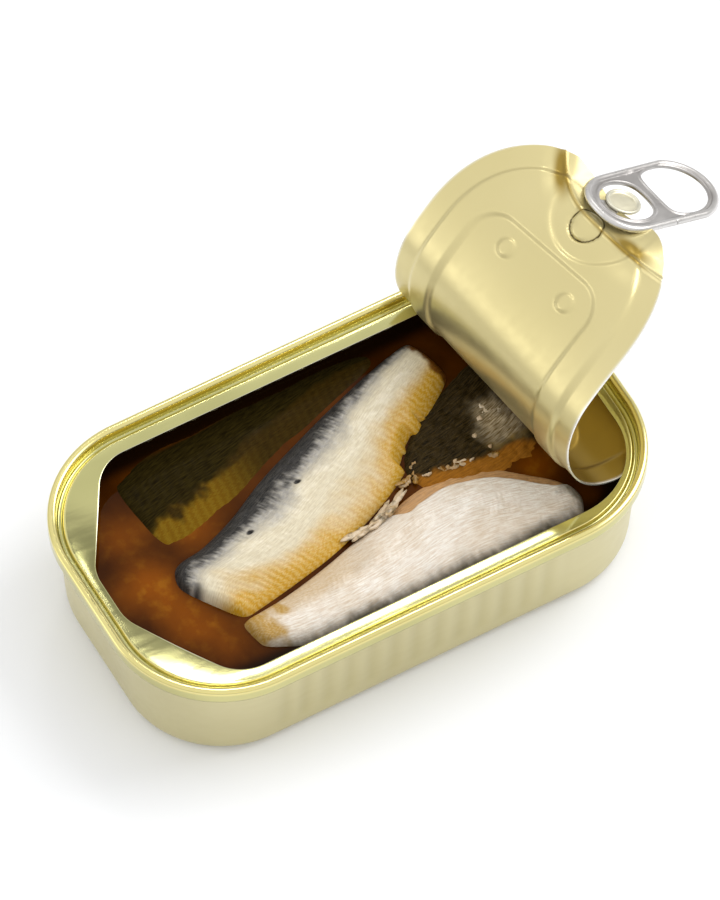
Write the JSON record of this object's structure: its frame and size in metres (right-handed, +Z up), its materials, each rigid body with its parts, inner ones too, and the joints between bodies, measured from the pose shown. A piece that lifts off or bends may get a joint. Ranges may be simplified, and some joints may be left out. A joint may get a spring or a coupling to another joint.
{
  "type": "sardine tin",
  "caption": "Low rectangular food tin with rounded corners, its lid panel peeled back and curled, a ring pull on its end, and fish fillets lying in oil inside.",
  "frame": {"origin": "on the table, under the middle of the tin's base", "axes": "+Z up, +X along the tin towards the end where the lid panel is still attached, -Y towards the front long side"},
  "size_m": [0.1323, 0.0639, 0.0545],
  "materials": {
    "gold_lacquer_cup": "satin gold lacquer on drawn sheet",
    "gold_lacquer_end": "satin gold lacquer on pressed sheet",
    "bare_steel": "satin, rolled edges",
    "button_metal": "satin, pale gold lacquer",
    "oil": "glossy brown oil, cloudy",
    "fish_skin": "wet silver skin, dark back, golden belly",
    "fish_dark": "wet dark skin"
  },
  "bodies": {
    "root": {"tin_cup": "gold_lacquer_cup", "tin_end": "gold_lacquer_end", "ring_pull": "bare_steel", "rivet_button": "button_metal", "oil": "oil", "fillet_back": "fish_dark", "fillet_middle": "fish_skin", "fillet_front": "fish_skin", "fillet_right": "fish_dark"}
  },
  "joints": []
}
